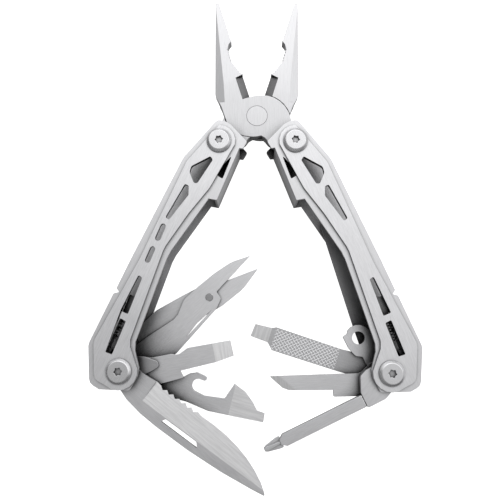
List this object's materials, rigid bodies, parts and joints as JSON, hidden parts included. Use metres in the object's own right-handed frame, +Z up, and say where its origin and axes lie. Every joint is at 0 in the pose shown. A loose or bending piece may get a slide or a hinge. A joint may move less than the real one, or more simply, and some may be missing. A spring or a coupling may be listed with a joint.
{
  "type": "multi tool",
  "caption": "Folding pliers multi tool with two skeleton channel handles and fold-out knife, opener, drivers, scissors, file and saw.",
  "frame": {"origin": "middle of the footprint, on the surface that the tool lies on", "axes": "+Y towards the tips of the jaws, +Z up through the thickness of the tool, every hinge axis parallel to Z"},
  "size_m": [0.1196, 0.1872, 0.02],
  "materials": {
    "dark_steel": "hardened, dark grey",
    "polished_steel": "polished",
    "satin_steel": "satin, bead blasted",
    "brushed_steel": "ground along the blade"
  },
  "bodies": {
    "front_jaw_body": {"front_jaw": "satin_steel", "front_cutter": "dark_steel", "pivot_rivet": "satin_steel"},
    "rear_jaw_body": {"rear_jaw": "satin_steel", "rear_cutter": "dark_steel"},
    "left_handle_body": {"left_channel": "satin_steel", "left_front_cover": "satin_steel", "left_back_cover": "satin_steel", "left_top_bolt": "polished_steel", "left_top_nut": "polished_steel", "left_bottom_bolt": "polished_steel", "left_bottom_nut": "polished_steel", "left_front_spacer": "brushed_steel", "left_back_spacer": "brushed_steel", "left_lock_spring": "polished_steel", "left_spring_stop": "dark_steel", "left_washer_1": "brushed_steel", "left_washer_2": "brushed_steel", "left_washer_3": "brushed_steel"},
    "right_handle_body": {"right_channel": "satin_steel", "right_front_cover": "satin_steel", "right_back_cover": "satin_steel", "right_top_bolt": "polished_steel", "right_top_nut": "polished_steel", "right_bottom_bolt": "polished_steel", "right_bottom_nut": "polished_steel", "right_front_spacer": "brushed_steel", "right_back_spacer": "brushed_steel", "right_lock_spring": "polished_steel", "right_spring_stop": "dark_steel", "right_washer_1": "brushed_steel", "right_washer_2": "brushed_steel", "right_washer_3": "brushed_steel"},
    "left_lock_body": {"left_lock_slide": "brushed_steel"},
    "right_lock_body": {"right_lock_slide": "brushed_steel"},
    "knife_body": {"knife": "brushed_steel"},
    "large_driver_body": {"large_driver": "brushed_steel", "driver_spacer": "brushed_steel"},
    "can_opener_body": {"can_opener": "brushed_steel"},
    "scissors_body": {"scissors_blade": "brushed_steel", "scissors_rivet": "polished_steel"},
    "scissors_lever_body": {"scissors_lever": "brushed_steel"},
    "file_body": {"file": "brushed_steel"},
    "chisel_body": {"chisel_blade": "brushed_steel"},
    "phillips_body": {"phillips_bracket": "brushed_steel", "phillips_bit": "brushed_steel"},
    "tab_body": {"lanyard_tab": "brushed_steel"},
    "saw_body": {"saw": "dark_steel"}
  },
  "joints": [
    {"name": "jaw_pivot", "type": "hinge", "parent": "front_jaw_body", "child": "rear_jaw_body", "pos_m": [0.0008, 0.0465, 0.01], "axis": [0, 0, 1], "range_deg": [-2, 23.5]},
    {"name": "left_handle_fold", "type": "hinge", "parent": "rear_jaw_body", "child": "left_handle_body", "pos_m": [-0.01352, 0.03466, 0.01], "axis": [0, 0, -1], "range_deg": [0, 165]},
    {"name": "right_handle_fold", "type": "hinge", "parent": "front_jaw_body", "child": "right_handle_body", "pos_m": [0.01512, 0.03466, 0.01], "axis": [0, 0, 1], "range_deg": [0, 165]},
    {"name": "knife_fold", "type": "hinge", "parent": "left_handle_body", "child": "knife_body", "pos_m": [-0.04847, -0.05012, 0.01], "axis": [0, 0, 1], "range_deg": [-77.9, 102.1]},
    {"name": "large_driver_fold", "type": "hinge", "parent": "left_handle_body", "child": "large_driver_body", "pos_m": [-0.04847, -0.05012, 0.01], "axis": [0, 0, 1], "range_deg": [-124.4, 55.6]},
    {"name": "can_opener_fold", "type": "hinge", "parent": "left_handle_body", "child": "can_opener_body", "pos_m": [-0.04847, -0.05012, 0.01], "axis": [0, 0, 1], "range_deg": [-98.4, 81.6]},
    {"name": "scissors_fold", "type": "hinge", "parent": "left_handle_body", "child": "scissors_body", "pos_m": [-0.04847, -0.05012, 0.01], "axis": [0, 0, 1], "range_deg": [-151.3, 28.7]},
    {"name": "file_fold", "type": "hinge", "parent": "right_handle_body", "child": "file_body", "pos_m": [0.04829, -0.05083, 0.01], "axis": [0, 0, -1], "range_deg": [-128.7, 51.3]},
    {"name": "chisel_fold", "type": "hinge", "parent": "right_handle_body", "child": "chisel_body", "pos_m": [0.04829, -0.05083, 0.01], "axis": [0, 0, -1], "range_deg": [-109.7, 70.3]},
    {"name": "phillips_fold", "type": "hinge", "parent": "right_handle_body", "child": "phillips_body", "pos_m": [0.04829, -0.05083, 0.01], "axis": [0, 0, -1], "range_deg": [-85.7, 94.3]},
    {"name": "tab_fold", "type": "hinge", "parent": "right_handle_body", "child": "tab_body", "pos_m": [0.04829, -0.05083, 0.01], "axis": [0, 0, -1], "range_deg": [-158.2, 21.8]},
    {"name": "saw_fold", "type": "hinge", "parent": "right_handle_body", "child": "saw_body", "pos_m": [0.04829, -0.05083, 0.01], "axis": [0, 0, -1], "range_deg": [-180, 0]},
    {"name": "scissors_squeeze", "type": "hinge", "parent": "scissors_body", "child": "scissors_lever_body", "pos_m": [-0.01752, -0.02335, 0.01], "axis": [0, 0, 1], "range_deg": [0, 12], "stiffness_Nm_per_rad": 0.05},
    {"name": "left_lock_slide", "type": "slide", "parent": "left_handle_body", "child": "left_lock_body", "axis": [0.3811, 0.9245, 0], "range_m": [0, 0.003], "stiffness_N_per_m": 300},
    {"name": "right_lock_slide", "type": "slide", "parent": "right_handle_body", "child": "right_lock_body", "axis": [-0.3616, 0.9323, 0], "range_m": [0, 0.003], "stiffness_N_per_m": 300}
  ]
}
